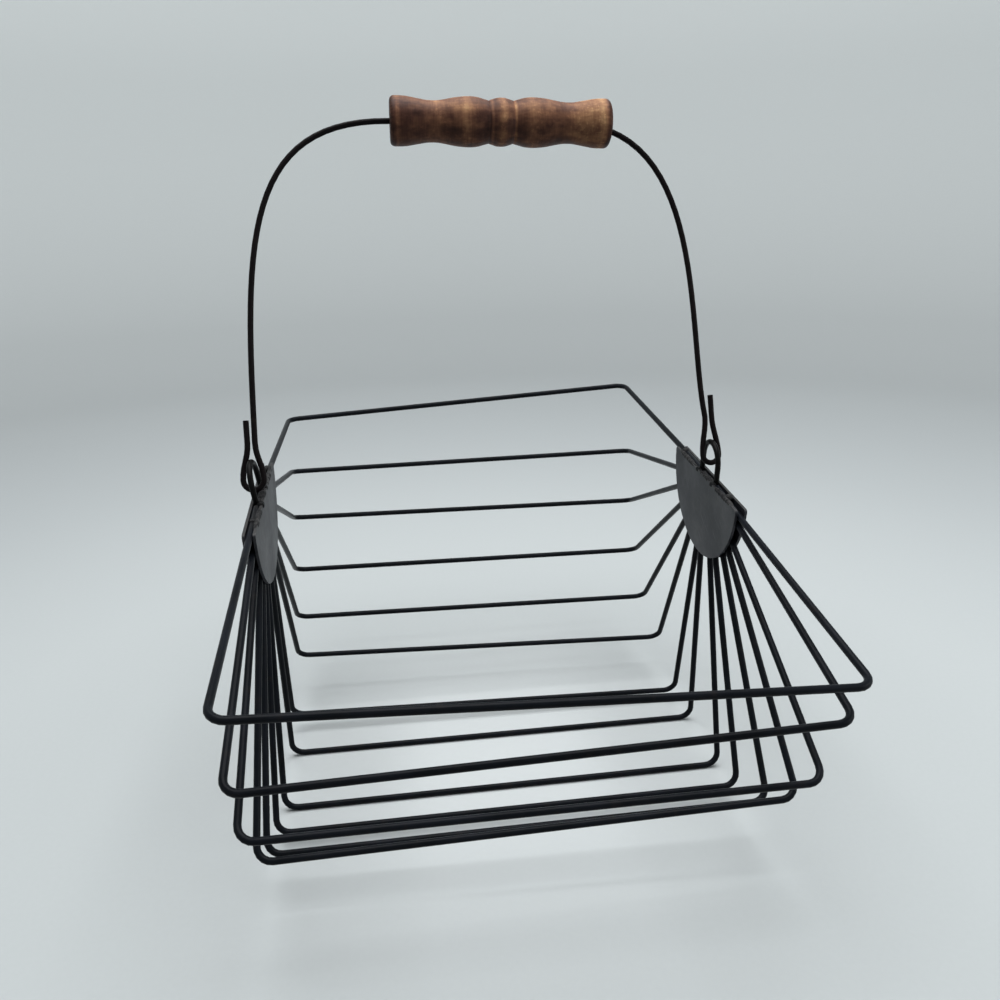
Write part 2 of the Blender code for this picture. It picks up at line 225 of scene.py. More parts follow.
def slot_wear_and_highlight(tree, place):
    """From 0, whole paint, to 1, worn grey with a painted highlight, for the legs in the slots."""
    x = add(tree, "SeparateXYZ", Vector=place).outputs["X"]
    out = add(tree, "Math", WITHOUT_SIGN, in0=x).outputs[0]
    inside = add(tree, "MapRange", in0=out, in1=SLOT_MARK_STARTS_X, in2=SLOT_MARK_FULL_X).outputs["Result"]
    along = add(tree, "VectorMath", DISTANCE_ALONG, in0=place, in1=basket_back).outputs["Value"]
    centre = PLATES_BACK + BASKET.translation.dot(basket_back)
    off = add(tree, "Math", MINUS, in0=along, in1=centre).outputs[0]
    away = add(tree, "Math", WITHOUT_SIGN, in0=off).outputs[0]
    within = add(tree, "MapRange", in0=away, in1=SLOT_MARK_STARTS_ALONG,
                 in2=SLOT_MARK_FULL_ALONG).outputs["Result"]
    crown = add(tree, "MapRange", in0=above_edges(tree, place), in1=CROWN_STARTS,
                in2=CROWN_FULL).outputs["Result"]
    streaks = add(tree, "TexNoise", Vector=place, Scale=per_mm(2.4), Detail=4.0,
                  Roughness=0.65).outputs["Fac"]
    chips = add(tree, "ValToRGB", stops=((0.38, grey(0.35)), (0.56, grey(1))),
                Fac=streaks).outputs["Color"]
    worn_and_lit = crown
    for share in (inside, within, chips):
        worn_and_lit = add(tree, "Math", TIMES, in0=worn_and_lit, in1=share).outputs[0]
    return worn_and_lit


print("the rims' legs are worn over", round(2 * SLOT_MARK_FULL_ALONG / MM), "mm at each end")

# %% [markdown]
# ## Satin black paint on steel wire
#
# The wires are mild steel, dipped or sprayed with satin black paint. Paint is a dielectric, so it
# isn't metallic, and its IOR is about 1.5. It is old and has lost most of its shine, so its
# specular level is far below that of new paint. Its surface has a fine orange peel, a grain of
# about 1 mm, that breaks up what highlight is left. Its tone drifts a little over some 26 mm.
# Use leaves it a little browner in patches some millimetres long, and duller or glossier from place
# to place. The bail sees most use, so it is the brownest. The ribs keep more of the paint's cold
# blue-black. The ears' paint is made darker than the ribs', a painted shade, and its brown patches
# paler, partly worn paint and partly a painted highlight.

# %% Satin black painted steel wire
PAINT_IOR = 1.5
PEEL_DEPTH = 0.05 * MM
GLOSSIER = 0.07
DULLER = 0.1


def black_paint(name, dark, light, brown, shine, roughness, rubbed_and_lit_in_slots=False):
    made, tree, shader, place = new_material(name)
    patches = add(tree, "TexNoise", Vector=place, Scale=per_mm(26), Detail=3.0,
                  Roughness=0.6).outputs["Fac"]
    peel = add(tree, "TexNoise", Vector=place, Scale=per_mm(1.1), Detail=2.0,
               Roughness=0.5).outputs["Fac"]
    use = add(tree, "TexNoise", Vector=place, Scale=per_mm(7), Detail=4.0,
              Roughness=0.65).outputs["Fac"]
    base = add(tree, "ValToRGB", stops=((0.35, linear(dark)), (0.65, linear(light))),
               Fac=patches).outputs["Color"]
    spots = add(tree, "ValToRGB", stops=((0.56, grey(0)), (0.74, grey(0.8))),
                Fac=use).outputs["Color"]
    colour = add(tree, "Mix", BLEND, in0=spots, in6=base, in7=linear(brown)).outputs[2]
    if rubbed_and_lit_in_slots:
        # Worn paint and a painted highlight on the crowns of the legs in the slots
        worn_and_lit = slot_wear_and_highlight(tree, place)
        colour = add(tree, "Mix", BLEND, in0=worn_and_lit, in6=colour, in7=linear(WORN_AND_LIT_WIRE)).outputs[2]
    gloss = add(tree, "MapRange", Value=use, To_Min=roughness - GLOSSIER,
                To_Max=roughness + DULLER).outputs["Result"]
    bump = add(tree, "Bump", Height=peel, Strength=0.5, Distance=PEEL_DEPTH).outputs["Normal"]
    finish_material(tree, shader, colour, gloss, bump, PAINT_IOR, shine)
    return made


rib_paint = black_paint(
    "satin_black_paint_on_steel_wire", dark="0f1216", light="191c22", brown="211f1f",
    shine=0.07, roughness=0.31, rubbed_and_lit_in_slots=True,
)
# Darker than the ribs' paint, a painted shade; its pale brown patches are partly a painted
# highlight
shaded_ear_paint = black_paint(
    "satin_black_paint_on_ear_wire_painted_shade", dark="0c0b0b", light="151413", brown="3a3634",
    shine=0.07, roughness=0.34,
)
bail_paint = black_paint(
    "satin_black_paint_on_bail_wire", dark="151112", light="1c1819", brown="26201e",
    shine=0.05, roughness=0.40,
)
print("wire paints:", rib_paint.name, shaded_ear_paint.name, bail_paint.name)

# %% [markdown]
# ## Black painted sheet steel
#
# The half-round plates are thin sheet steel under the same paint, but flat metal shows it
# differently: it catches the light as one plane, a dull blue-grey. Sheet cut with shears is never
# quite flat, so a bump some 40 mm long lets the light fall off over it. There are scuffs of a few
# millimetres, and fine scratches that run one way, drawn a little coarser than real ones so that
# they show. The straight edges on top are rubbed to a dull grey, by the same height above the
# plates' edges as the wires' crowns. That grey is also a painted highlight on the edges, which face
# up to the light.

# %% Black painted sheet steel
SCRATCH_TURN = (0.7, 0, 0)
SCRATCH_SHAPE = (1, 16, 1)
EDGE_STARTS = -0.9 * MM
EDGE_FULL = -0.2 * MM
BOW_DEPTH = 3.5 * MM
SHEET_SHINE = 0.35


def sheet_paint(name, dark, light, scuffed, scratched, bare_and_lit):
    made, tree, shader, place = new_material(name)
    clouds = add(tree, "TexNoise", Vector=place, Scale=per_mm(30), Detail=4.0,
                 Roughness=0.6).outputs["Fac"]
    scuffs = add(tree, "TexNoise", Vector=place, Scale=per_mm(5), Detail=5.0,
                 Roughness=0.7).outputs["Fac"]
    base = add(tree, "ValToRGB", stops=((0.32, linear(dark)), (0.68, linear(light))),
               Fac=clouds).outputs["Color"]
    marks = add(tree, "ValToRGB", stops=((0.60, grey(0)), (0.74, grey(0.45))),
                Fac=scuffs).outputs["Color"]
    colour = add(tree, "Mix", BLEND, in0=marks, in6=base, in7=linear(scuffed)).outputs[2]

    drawn = add(tree, "Mapping", STRETCH_PATTERN, Vector=place, Rotation=SCRATCH_TURN,
                Scale=SCRATCH_SHAPE).outputs["Vector"]
    hair = add(tree, "TexNoise", Vector=drawn, Scale=per_mm(0.8), Detail=2.0).outputs["Fac"]
    scratches = add(tree, "ValToRGB", stops=((0.64, grey(0)), (0.72, grey(0.55))),
                    Fac=hair).outputs["Color"]
    colour = add(tree, "Mix", BLEND, in0=scratches, in6=colour, in7=linear(scratched)).outputs[2]

    # Worn paint and a painted highlight along the plates' straight top edges
    edge = add(tree, "MapRange", in0=above_edges(tree, place), in1=EDGE_STARTS,
               in2=EDGE_FULL).outputs["Result"]
    chips = add(tree, "ValToRGB", stops=((0.40, grey(0.3)), (0.58, grey(1))),
                Fac=scuffs).outputs["Color"]
    worn_and_lit = add(tree, "Math", TIMES, in0=edge, in1=chips).outputs[0]
    colour = add(tree, "Mix", BLEND, in0=worn_and_lit, in6=colour, in7=linear(bare_and_lit)).outputs[2]

    gloss = add(tree, "MapRange", Value=scuffs, To_Min=0.36, To_Max=0.58).outputs["Result"]
    bow = add(tree, "TexNoise", Vector=place, Scale=per_mm(42), Detail=1.0,
              Roughness=0.4).outputs["Fac"]
    bowed = add(tree, "Bump", Height=bow, Strength=1.0, Distance=BOW_DEPTH).outputs["Normal"]
    peel = add(tree, "TexNoise", Vector=place, Scale=per_mm(1.3), Detail=3.0,
               Roughness=0.55).outputs["Fac"]
    bump = add(tree, "Bump", Height=peel, Strength=0.4, Distance=PEEL_DEPTH,
               Normal=bowed).outputs["Normal"]
    finish_material(tree, shader, colour, gloss, bump, PAINT_IOR, SHEET_SHINE)
    return made


# The edge colour is partly worn paint and partly a painted highlight
plate_paint = sheet_paint(
    "black_paint_on_sheet_steel", dark="202126", light="2e2f36", scuffed="3a3a3a",
    scratched="4c4d50", bare_and_lit="302f2e",
)
print("plate paint:", plate_paint.name)

# %% [markdown]
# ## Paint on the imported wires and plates
#
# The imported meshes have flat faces. A weld joins their doubled corners, and smooth shading by
# angle then rounds the wires but keeps the plates' edges crisp. Neither moves a corner.

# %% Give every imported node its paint
DOUBLED_WITHIN = 0.002 * MM
WIRE_CREASE = 50
PLATE_CREASE = 40


def paint(thing, look):
    thing.data.materials.clear()
    thing.data.materials.append(look)


def crisp_edges(thing, degrees):
    """Keeps edges sharp where faces meet at more than this angle."""
    split = thing.modifiers.new("Crisp edges", "EDGE_SPLIT")
    split.split_angle = math.radians(degrees)


def soften(thing, degrees):
    weld = thing.modifiers.new("Weld", "WELD")
    weld.merge_threshold = DOUBLED_WITHIN
    thing.data.shade_smooth()
    crisp_edges(thing, degrees)


for name, thing in nodes.items():
    if name.startswith("plate"):
        paint(thing, plate_paint)
        soften(thing, PLATE_CREASE)
    elif name == "bail":
        paint(thing, bail_paint)
        soften(thing, WIRE_CREASE)
    elif name != "grip":
        paint(thing, shaded_ear_paint if name.startswith("ear") else rib_paint)
        soften(thing, WIRE_CREASE)
print("painted", len(nodes) - 1, "packed pieces")

# %% [markdown]
# ## The turned grip
#
# The grip was turned on a lathe between centres and bored for the wire. A lathe leaves a body of
# revolution, so a profile spun round its axis is the honest way to make it. It is drawn along its
# own X axis and then laid on the bail, so the wood's grain can follow X too. Its outline is the
# packed grip's, with more rings.
#
# The rows below go from the flare at one end to the bead in the middle. Each gives how far out it
# is, as a share of the half length, and how thick the grip is there, in millimetres. A fine groove
# is cut on each side of the bead. The other half is the same, mirrored.

# %% Profile of the grip
GRIP_LENGTH = 105.5 * MM
GRIP_FLARE = 22.2 * MM
GRIP_EDGE = 2.2 * MM
GROOVE_AT = 0.113
GRIP_RINGS = (
    (0.905, 22.2), (0.85, 21.82), (0.80, 20.91), (0.73, 19.62), (0.67, 18.59), (0.62, 18.4),
    (0.57, 18.6), (0.50, 19.7), (0.43, 21.1), (0.36, 22.0), (0.30, 22.4), (0.25, 22.2),
    (0.205, 21.5), (0.155, 20.1), (0.125, 19.3), (GROOVE_AT, 18.8), (0.100, 19.39),
    (0.070, 20.4), (0.035, 21.35), (0.0, 21.6),
)
EDGE_STEPS = 8
RINGS_BETWEEN = 5


def smooth_between(points, count):
    """A Catmull-Rom curve through the points, sampled evenly between each two."""
    made = []
    ends = [points[0]] + points + [points[-1]]
    for before, start, end, after in zip(ends, ends[1:], ends[2:], ends[3:]):
        for step in range(count):
            t = step / count
            made.append(tuple(
                0.5 * (2 * b + (c - a) * t + (2 * a - 5 * b + 4 * c - d) * t * t
                       + (3 * b - a - 3 * c + d) * t**3)
                for a, b, c, d in zip(before, start, end, after)
            ))
    return made + [points[-1]]


half = GRIP_LENGTH / 2
belly = [(half * at, width / 2 * MM) for at, width in GRIP_RINGS if at >= GROOVE_AT]
bead = [(half * at, width / 2 * MM) for at, width in GRIP_RINGS if at <= GROOVE_AT]
outside = smooth_between(belly, RINGS_BETWEEN) + smooth_between(bead, RINGS_BETWEEN)[1:]
rim = []
for step in range(EDGE_STEPS + 1):
    angle = math.radians(90 * (1 - step / EDGE_STEPS))
    across = GRIP_FLARE / 2 - GRIP_EDGE * (1 - math.cos(angle))
    rim.append((half - GRIP_EDGE * (1 - math.sin(angle)), across))
right_half = rim + outside
profile = right_half + [(-x, r) for x, r in reversed(right_half[:-1])]
print("rings along the grip:", len(profile))

# %% [markdown]
# The bore opens towards both ends, because the wire already bends where it leaves the grip. The
# wire has worn the edge of each mouth back by about half a millimetre, so the two stay clear of
# each other as the grip turns.

# %% Profile of the bore
BORE = 3.8 * MM
MOUTH_FLARE = 2.7 * MM
MOUTH_DEPTH = 15 * MM
MOUTH_WEAR = 0.7 * MM

right_mouth = [
    (half - MOUTH_DEPTH, BORE / 2),
    (half - 5 * MM, BORE / 2 + 0.62 * MOUTH_FLARE),
    (half - MOUTH_WEAR, BORE / 2 + MOUTH_FLARE + 0.15 * MM),
    (half, BORE / 2 + MOUTH_FLARE + 0.55 * MM),
]
bore = [(-x, r) for x, r in reversed(right_mouth)] + right_mouth
print("the bore opens to", round(2 * bore[-1][1] / MM, 1), "mm")

# %% [markdown]
# The grip, the weld metal and the paper are all rings of corners with faces between them. One
# helper makes the faces, and one turns the finished shape into a smooth object.


# %% Helpers for shapes made of rings
def bridge(shape, rings):
    """Faces between each ring of corners and the next."""
    for first, second in zip(rings, rings[1:]):
        for side in range(len(first)):
            after = (side + 1) % len(first)
            shape.faces.new((first[side], first[after], second[after], second[side]))


def smooth_object(name, shape):
    bmesh.ops.recalc_face_normals(shape, faces=shape.faces)
    mesh = bpy.data.meshes.new(name)
    shape.to_mesh(mesh)
    shape.free()
    mesh.shade_smooth()
    made = bpy.data.objects.new(name, mesh)
    bpy.context.scene.collection.objects.link(made)
    print(name, "has", len(mesh.polygons), "faces")
    return made


# %% [markdown]
# Wood that has been used isn't quite round. The outside gets a swell of 0.05 mm and a few shallow
# dents where it was knocked. The bore keeps its turned shape.

# %% Spin both profiles
GRIP_PLACE = Vector((16.76, 53.186, 318.967)) * MM
GRIP_AXIS = Vector((0.99966, -0.00809, -0.0249))
GRIP_SIDES = 96
GRIP_CREASE = 38
SWELL = 0.05 * MM
SWELL_LONG, SWELL_ROUND = 9 * MM, 1.3
DENT = 0.35 * MM
DENT_LONG, DENT_ROUND = 2.5 * MM, 4
DENT_SEED = Vector((7, 3, 1))
DENTS_ABOVE = 0.42


def worn_radius(x, radius, angle):
    """The turned radius with a little wear, and dents where the wood was knocked."""
    y, z = math.cos(angle), math.sin(angle)
    wide = Vector((x / SWELL_LONG, y * SWELL_ROUND, z * SWELL_ROUND))
    small = Vector((x / DENT_LONG, y * DENT_ROUND, z * DENT_ROUND))
    knock = max(0.0, noise.noise(small + DENT_SEED) - DENTS_ABOVE)
    return radius + SWELL * noise.noise(wide) - DENT * knock


def spun(shape, rings, wear):
    """Rings of corners round X."""
    made = []
    for x, radius in rings:
        ring = []
        for side in range(GRIP_SIDES):
            angle = 2 * math.pi * side / GRIP_SIDES
            r = worn_radius(x, radius, angle) if wear else radius
            ring.append(shape.verts.new((x, r * math.cos(angle), r * math.sin(angle))))
        made.append(ring)
    return made


shape = bmesh.new()
rings = spun(shape, profile, True) + spun(shape, bore, False)
bridge(shape, rings + rings[:1])
grip = smooth_object("grip_turned", shape)
laid = GRIP_AXIS.to_track_quat("X", "Z").to_matrix().to_4x4()
grip.matrix_world = Matrix.Translation(GRIP_PLACE) @ laid
crisp_edges(grip, GRIP_CREASE)

# %% [markdown]
# ## Stained hardwood
#
# The grip is a pale, close-grained hardwood such as beech, stained brown. Stain soaks in unevenly,
# so it is blotchy. Use rubs it off wherever the wood stands proud: on the bellies, the bead and the
# right flare, with small pale specks. The lines cut beside the bead are pale too. The upper side is
# painted paler and the lower side darker, a painted light from above and a painted shade below.
# Little reaches into the bore, so it keeps all its stain.
#
# All of that is added up into one number, how bare the wood is and how lit it is painted, and
# later a ramp of five browns turns it into a colour.

# %% Stain rubbed off by use
# Each row is a place in mm from the grip's middle, and how much of the stain is gone there
STAIN_RUBBED = (
    (-52.5, 0.0), (-50.8, 0.08), (-49.4, 0.45), (-47.6, 0.18), (-38, 0.22), (-31, 0.46),
    (-26, 0.30), (-20, 0.36), (-17.4, 0.56), (-14.5, 0.36), (-7.5, 0.12), (-5.8, 0.12),
    (-4.7, 0.50), (-3.6, 0.20), (0.3, 0.60), (3.0, 0.22), (5.3, 0.16), (6.3, 0.62), (7.4, 0.22),
    (11, 0.35), (14.6, 0.55), (18.5, 0.32), (27, 0.24), (33, 0.38), (38, 0.58), (45.5, 0.60),
    (48.2, 0.78), (49.8, 0.54), (51.0, 0.06),
)
BORE_SIDE = 4.6 * MM
OUTER_SIDE = 6.5 * MM


def rubbed_along(tree, x):
    """How much stain is gone at this distance along the grip."""
    along = add(tree, "MapRange", Value=x, From_Min=-half, From_Max=half).outputs["Result"]
    stops = tuple(((mm * MM + half) / GRIP_LENGTH, grey(gone)) for mm, gone in STAIN_RUBBED)
    return add(tree, "ValToRGB", stops=stops, Fac=along).outputs["Color"]


def rubbed_outside(tree, place):
    """About 1 on the outside, more in the pale specks, and 0 inside the bore."""
    specks = add(tree, "TexNoise", Vector=place, Scale=per_mm(1.4), Detail=2.0,
                 Roughness=0.5).outputs["Fac"]
    pale = add(tree, "ValToRGB", stops=((0.56, grey(0.0)), (0.70, grey(1.0))),
               Fac=specks).outputs["Color"]
    speckled = add(tree, "Math", TIMES_PLUS, in0=pale, in1=0.25, in2=0.88).outputs[0]
    across = add(tree, "VectorMath", TIMES, in0=place, in1=(0.0, 1.0, 1.0)).outputs["Vector"]
    from_axis = add(tree, "VectorMath", LENGTH, in0=across).outputs["Value"]
    outer = add(tree, "MapRange", Value=from_axis, From_Min=BORE_SIDE,
                From_Max=OUTER_SIDE).outputs["Result"]
    return add(tree, "Math", TIMES, in0=speckled, in1=outer).outputs[0]


print("the wear is given at", len(STAIN_RUBBED), "places along the grip")

# %% [markdown]
# Blotches in the stain are some 14 mm long and about half as wide, with a mottle of 4 mm in them.
# The lathe leaves faint rings round the wood, so one pattern is squeezed along X.

# %% How bare the stained wood is, with painted light and shade
BLOTCH_SHAPE = (1.0, 0.45, 0.45)
BARE_START = -0.375
BLOTCH, MOTTLE, LATHE = 1.0, 0.45, 0.27
HALF_THICK = 11 * MM
# Painted light and shade: the upper side is made paler and the under side darker
SHADED_UNDERSIDE, LIT_UPPER_SIDE = -0.48, -0.24


def how_bare_and_lit(tree, place, x, z, lathe_rings):
    """From about 0, full stain, to 1, rubbed pale, with painted light on top and painted shade
    below.
    """
    wide = add(tree, "Mapping", STRETCH_PATTERN, Vector=place, Scale=BLOTCH_SHAPE).outputs["Vector"]
    blotch = add(tree, "TexNoise", Vector=wide, Scale=per_mm(14), Detail=3.5,
                 Roughness=0.55).outputs["Fac"]
    mottle = add(tree, "TexNoise", Vector=place, Scale=per_mm(3.6), Detail=2.5,
                 Roughness=0.5).outputs["Fac"]
    bare_and_lit = BARE_START
    for pattern, weight in (
        (blotch, BLOTCH), (mottle, MOTTLE), (lathe_rings, LATHE),
        (rubbed_along(tree, x), rubbed_outside(tree, place)),
    ):
        bare_and_lit = add(tree, "Math", TIMES_PLUS, in0=pattern, in1=weight, in2=bare_and_lit).outputs[0]
    # Painted light from above and painted shade below, by the height across the grip
    painted_light_from_above = add(tree, "MapRange", Value=z, From_Min=-HALF_THICK, From_Max=HALF_THICK,
                  To_Min=SHADED_UNDERSIDE, To_Max=LIT_UPPER_SIDE).outputs["Result"]
    return add(tree, "Math", PLUS, in0=bare_and_lit, in1=painted_light_from_above).outputs[0]


print("blotches weigh", BLOTCH, "mottle", MOTTLE, "and the lathe's rings", LATHE)

# %% [markdown]
# The tree's growth rings, about 1.7 mm apart, cross the turned ends, where the cut fibres drink
# the stain and show them well. On the sides they hardly show. They are rings round an axis that
# lies outside the grip and a little askew, as in a stick split from a log.

# %% Growth rings
YEAR_MM = 1.7
WAVE_PERIOD = 0.314  # between the bands of a Wave texture at scale 1
HEART_PLACE = (0, 19 * MM, 12 * MM)
HEART_TILT = (0, 0.03, 0.05)
END_GRAIN_FROM = half - 1.5 * MM
END_GRAIN_FULL = half - 0.3 * MM


def growth_rings(tree, place, x):
    """The rings' tone, and how strongly they show at this distance along the grip."""
    heart = add(tree, "Mapping", Vector=place, Location=HEART_PLACE,
                Rotation=HEART_TILT).outputs["Vector"]
    years = add(tree, "TexWave", {"wave_type": "RINGS", "rings_direction": "X"}, Vector=heart,
                Scale=WAVE_PERIOD * per_mm(YEAR_MM), Distortion=1.5, Detail=2.0).outputs["Fac"]
    tone = add(tree, "ValToRGB", stops=((0.2, grey(0.55)), (0.6, grey(1.0))),
               Fac=years).outputs["Color"]
    out = add(tree, "Math", WITHOUT_SIGN, in0=x).outputs[0]
    strength = add(tree, "MapRange", Value=out, From_Min=END_GRAIN_FROM, From_Max=END_GRAIN_FULL,
                   To_Min=0.12, To_Max=0.75).outputs["Result"]
    return tone, strength


print("growth rings are", YEAR_MM, "mm apart")

# %% [markdown]
# Over the stain lies the grain: thin dark flecks a few millimetres long, along the axis. The finish
# is wax or old oil, with an IOR of about 1.45 and little gloss, and least where the wood is bare.

# %% Stained beech
STAIN = ("331f1a", "5a3b30", "865d47", "b38360", "deb080")
LATHE_SHAPE = (0.25, 3.0, 3.0)
FLECK_SHAPE = (9.0, 1.0, 1.0)
GRAIN_DEPTH = 0.12 * MM
WAX_IOR = 1.45
WAX_SHINE = 0.14


def stained_beech():
    made, tree, shader, place = new_material("stained_turned_beech")
    spread = add(tree, "SeparateXYZ", Vector=place).outputs
    tight = add(tree, "Mapping", STRETCH_PATTERN, Vector=place, Scale=LATHE_SHAPE).outputs["Vector"]
    lathe_rings = add(tree, "TexNoise", Vector=tight, Scale=per_mm(3.0), Detail=3.0,
                      Roughness=0.6).outputs["Fac"]
    drawn = add(tree, "Mapping", STRETCH_PATTERN, Vector=place, Scale=FLECK_SHAPE).outputs["Vector"]
    grain = add(tree, "TexNoise", Vector=drawn, Scale=per_mm(0.9), Detail=4.0,
                Roughness=0.7).outputs["Fac"]
    bare_and_lit = how_bare_and_lit(tree, place, spread["X"], spread["Z"], lathe_rings)
    browns = tuple((number / 4, linear(code)) for number, code in enumerate(STAIN))
    wood = add(tree, "ValToRGB", stops=browns, Fac=bare_and_lit).outputs["Color"]
    flecks = add(tree, "ValToRGB", stops=((0.38, grey(0.75)), (0.56, grey(1.0))),
                 Fac=grain).outputs["Color"]
    flecked = add(tree, "Mix", DARKEN, in0=0.3, in6=wood, in7=flecks).outputs[2]
    years, strength = growth_rings(tree, place, spread["X"])
    colour = add(tree, "Mix", DARKEN, in0=strength, in6=flecked, in7=years).outputs[2]
    gloss = add(tree, "MapRange", Value=bare_and_lit, To_Min=0.42, To_Max=0.6).outputs["Result"]
    height = add(tree, "Math", TIMES_PLUS, in0=lathe_rings, in1=0.8, in2=grain).outputs[0]
    bump = add(tree, "Bump", Height=height, Strength=0.35, Distance=GRAIN_DEPTH).outputs["Normal"]
    finish_material(tree, shader, colour, gloss, bump, WAX_IOR, WAX_SHINE)
    return made


paint(grip, stained_beech())
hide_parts("grip")
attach(grip, "grip")
print("the grip is", grip.data.materials[0].name)

# %% [markdown]
# ## Weld metal between the plates
#
# The ears and the two rims are held by weld metal in the slot between each pair of plates. A thin
# run joins the wires to the inner plate, a lump bridges the whole slot near each end, and a small
# dark puddle sits at the foot of each leg of the ear. Weld metal is lumpy, with a ripple every
# millimetre or so. A tube whose radius follows some noise gives that, and the slot hides its
# underside.

# %% Runs of weld metal
BEAD_SIDES = 12
BEAD_STEP_MM = 0.5
LEAST_RADIUS_MM = 0.04
RIPPLE_LONG = 1.1 * MM
LUMP_LONG = 4 * MM
PIT_LONG = 0.8 * MM
LUMPY = 0.22
PITTED = 0.12
WANDER = 0.2 * MM


def bead_run(shape, x, level, start, end, radius, seed):
    """A lumpy run along the slot from start to end, measured in mm from the ear's middle."""
    steps = max(6, int(abs(end - start) / BEAD_STEP_MM))
    rings = []
    for step in range(steps + 1):
        share = step / steps
        y = (start + (end - start) * share) * MM
        ends = math.sqrt(max(0.0, 1 - abs(2 * share - 1) ** 4))
        ripple = noise.noise(Vector((y / RIPPLE_LONG, seed, 0)))
        lump = noise.noise(Vector((y / LUMP_LONG, seed, 5)))
        r = max(LEAST_RADIUS_MM, radius * ends * (1 + LUMPY * ripple + LUMPY * lump)) * MM
        middle = Vector((x + WANDER * lump, PLATES_BACK + y, level + WANDER * lump))
        ring = []
        for side in range(BEAD_SIDES):
            angle = 2 * math.pi * side / BEAD_SIDES
            spot = Vector((y / PIT_LONG, math.cos(angle) + seed, math.sin(angle)))
            out = r * (1 + PITTED * noise.noise(spot))
            corner = middle + Vector((out * math.cos(angle), 0, out * math.sin(angle)))
            ring.append(shape.verts.new(BASKET @ corner))
        rings.append(ring)
    bridge(shape, rings)
    shape.faces.new(list(reversed(rings[0])))
    shape.faces.new(rings[-1])


def weld_piece(name, runs, side, look):
    """One object for several runs. Each is start, end, inward, drop and radius, in mm."""
    shape = bmesh.new()
    for number, (start, end, inward, drop, radius) in enumerate(runs):
        x = SLOT_X[side] - side * inward * MM
        seed = 3.7 + 5 * side + 1.9 * number
        bead_run(shape, x, PLATES_TOP[side] - drop * MM, start, end, radius, seed)
    made = smooth_object(name, shape)
    paint(made, look)
    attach(made, "basket")


# %% [markdown]
# The runs were painted with the rest and then rubbed, so they are the paint's black in some patches
# and a dull grey in others. The puddles at the ears' feet kept their paint. Old paint on lumpy
# metal has hardly any shine.

# %% Paint worn from weld metal
WELD_GRAIN_DEPTH = 0.12 * MM
WELD_SHINE = 0.12


def weld_paint(name, hollow, middle, top):
    made, tree, shader, place = new_material(name)
    patches = add(tree, "TexNoise", Vector=place, Scale=per_mm(2.8), Detail=5.0,
                  Roughness=0.7).outputs["Fac"]
    grain = add(tree, "TexNoise", Vector=place, Scale=per_mm(0.7), Detail=3.0,
                Roughness=0.6).outputs["Fac"]
    tones = ((0.36, linear(hollow)), (0.50, linear(middle)), (0.66, linear(top)))
    colour = add(tree, "ValToRGB", stops=tones, Fac=patches).outputs["Color"]
    gloss = add(tree, "MapRange", Value=patches, To_Min=0.6, To_Max=0.42).outputs["Result"]
    bump = add(tree, "Bump", Height=grain, Strength=0.6,
               Distance=WELD_GRAIN_DEPTH).outputs["Normal"]
    finish_material(tree, shader, colour, gloss, bump, PAINT_IOR, WELD_SHINE)
    return made


worn_weld = weld_paint("worn_black_paint_on_weld_metal", "141415", "2b2b2c", "434241")
dark_weld = weld_paint("black_paint_on_weld_metal", "070809", "111213", "1f1f1f")
print("weld finishes:", worn_weld.name, dark_weld.name)

# %% [markdown]
# Both ends have the same runs. The bail swings low over the left slot, so the lumps there are
# smaller and sit lower than on the right.

# %% Lay the weld metal
# Each run is, in mm: start, end, inward from the slot's middle, drop below the plates' tops, radius
RUN_IN_FRONT = (-36, -11.6, 1.95, 0.65, 1.2)
RUN_BEHIND = (11.6, 37, 1.95, 0.65, 1.2)
RUNS_UNDER_EAR = ((-7.4, 7.4, 0.5, 0.95, 1.3), (-7.8, 7.8, 2.05, 0.45, 0.95))
PUDDLES = ((-11.6, -7.8, 1.7, 0.6, 1.55), (7.6, 11.4, 1.7, 0.6, 1.55))

for side, end, drop, radius in ((-1, "left", 0.85, 1.6), (1, "right", 0.35, 1.9)):
    lumps = ((-28.2, -24.2, 0.1, drop, radius), (31.8, 35.8, 0.2, drop, radius))
    runs = (RUN_IN_FRONT, *RUNS_UNDER_EAR, RUN_BEHIND, *lumps)
    weld_piece(f"weld_runs_{end}", runs, side, worn_weld)
    weld_piece(f"weld_puddles_{end}", PUDDLES, side, dark_weld)

# %% [markdown]
# ## Floor and backdrop
#
# The basket stands on a pale matt paper sweep that turns up behind it. A round sweep looks the
# same from every side. Its outline is a flat floor, a bend and a wall, in metres, turned round Z.

# %% Pale sweep
FLOOR_REACH = 1.15
BEND = 0.55
WALL_TOP = 2.2
FLOOR_STEPS = 6
BEND_STEPS = 12
SWEEP_SIDES = 96

line = [(FLOOR_REACH * step / FLOOR_STEPS, 0.0) for step in range(1, FLOOR_STEPS + 1)]
for step in range(1, BEND_STEPS + 1):
    angle = math.radians(90 * step / BEND_STEPS)
    line.append((FLOOR_REACH + BEND * math.sin(angle), BEND * (1 - math.cos(angle))))
line.append((FLOOR_REACH + BEND, WALL_TOP))
shape = bmesh.new()
rings = []
for r, z in line:
    turns = [2 * math.pi * side / SWEEP_SIDES for side in range(SWEEP_SIDES)]
    rings.append([shape.verts.new((r * math.cos(a), r * math.sin(a), z)) for a in turns])
shape.faces.new(rings[0])
bridge(shape, rings)
sweep = smooth_object("paper_sweep", shape)

